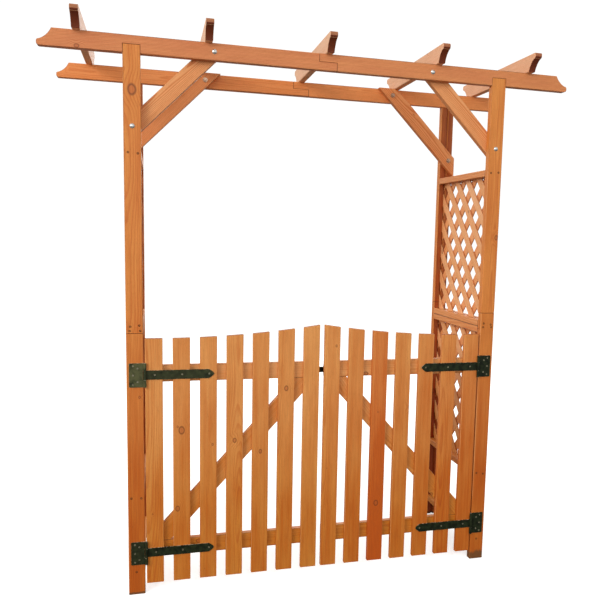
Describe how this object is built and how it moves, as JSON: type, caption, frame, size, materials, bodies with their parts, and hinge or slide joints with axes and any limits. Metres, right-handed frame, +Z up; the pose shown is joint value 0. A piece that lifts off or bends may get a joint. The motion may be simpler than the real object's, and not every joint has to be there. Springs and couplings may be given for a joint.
{
  "type": "garden arch with gate",
  "caption": "Stained timber garden arch with lattice sides, shaped rafters on spliced beams, corner braces and a double picket gate on strap hinges with a sliding bolt.",
  "frame": {"origin": "on the ground, at the middle of the passage in width and depth", "axes": "+X to the right seen from the gate side, -Y out of the gate side, +Z up"},
  "size_m": [2.014, 0.672, 2.104],
  "materials": {
    "post_wood": "satin stained pine",
    "beam_wood": "satin stained pine",
    "rafter_wood": "satin stained pine",
    "brace_wood": "satin stained pine",
    "rail_wood": "satin stained pine",
    "lattice_wood": "satin stained pine",
    "picket_wood": "satin stained pine",
    "gate_rail_wood": "satin stained pine",
    "dark_iron": "satin",
    "zinc": "satin"
  },
  "bodies": {
    "arch": {"post_front_left_lower": "post_wood", "post_front_left_upper": "post_wood", "post_front_right_lower": "post_wood", "post_front_right_upper": "post_wood", "post_back_left_lower": "post_wood", "post_back_left_upper": "post_wood", "post_back_right_lower": "post_wood", "post_back_right_upper": "post_wood", "beam_front_left": "beam_wood", "beam_front_right": "beam_wood", "beam_back_left": "beam_wood", "beam_back_right": "beam_wood", "rafter_1": "rafter_wood", "rafter_2": "rafter_wood", "rafter_3": "rafter_wood", "rafter_4": "rafter_wood", "rafter_5": "rafter_wood", "brace_front_left": "brace_wood", "brace_front_right": "brace_wood", "brace_back_left": "brace_wood", "brace_back_right": "brace_wood", "side_rails_left_upper": "rail_wood", "side_rails_left_lower": "rail_wood", "side_rails_right_upper": "rail_wood", "side_rails_right_lower": "rail_wood", "lattice_left_upper": "lattice_wood", "lattice_left_lower": "lattice_wood", "lattice_right_upper": "lattice_wood", "lattice_right_lower": "lattice_wood", "hinge_plates_left": "dark_iron", "hinge_plates_right": "dark_iron", "brace_bolts": "zinc"},
    "left_leaf": {"gate_pickets_left": "picket_wood", "gate_rails_left": "gate_rail_wood", "gate_brace_left": "gate_rail_wood", "hinge_straps_left": "dark_iron", "bolt_keeper": "dark_iron"},
    "right_leaf": {"gate_pickets_right": "picket_wood", "gate_rails_right": "gate_rail_wood", "gate_brace_right": "gate_rail_wood", "hinge_straps_right": "dark_iron", "bolt_staples": "dark_iron"},
    "bolt": {"bolt_bar": "dark_iron"}
  },
  "joints": [
    {"name": "left_leaf_hinge", "type": "hinge", "parent": "arch", "child": "left_leaf", "pos_m": [-0.667, -0.272, 0.5], "axis": [0, 0, -1], "range_deg": [0, 165]},
    {"name": "right_leaf_hinge", "type": "hinge", "parent": "arch", "child": "right_leaf", "pos_m": [0.667, -0.272, 0.5], "axis": [0, 0, 1], "range_deg": [0, 165]},
    {"name": "bolt_slide", "type": "slide", "parent": "right_leaf", "child": "bolt", "axis": [-1, 0, 0], "range_m": [0, 0.04]}
  ]
}
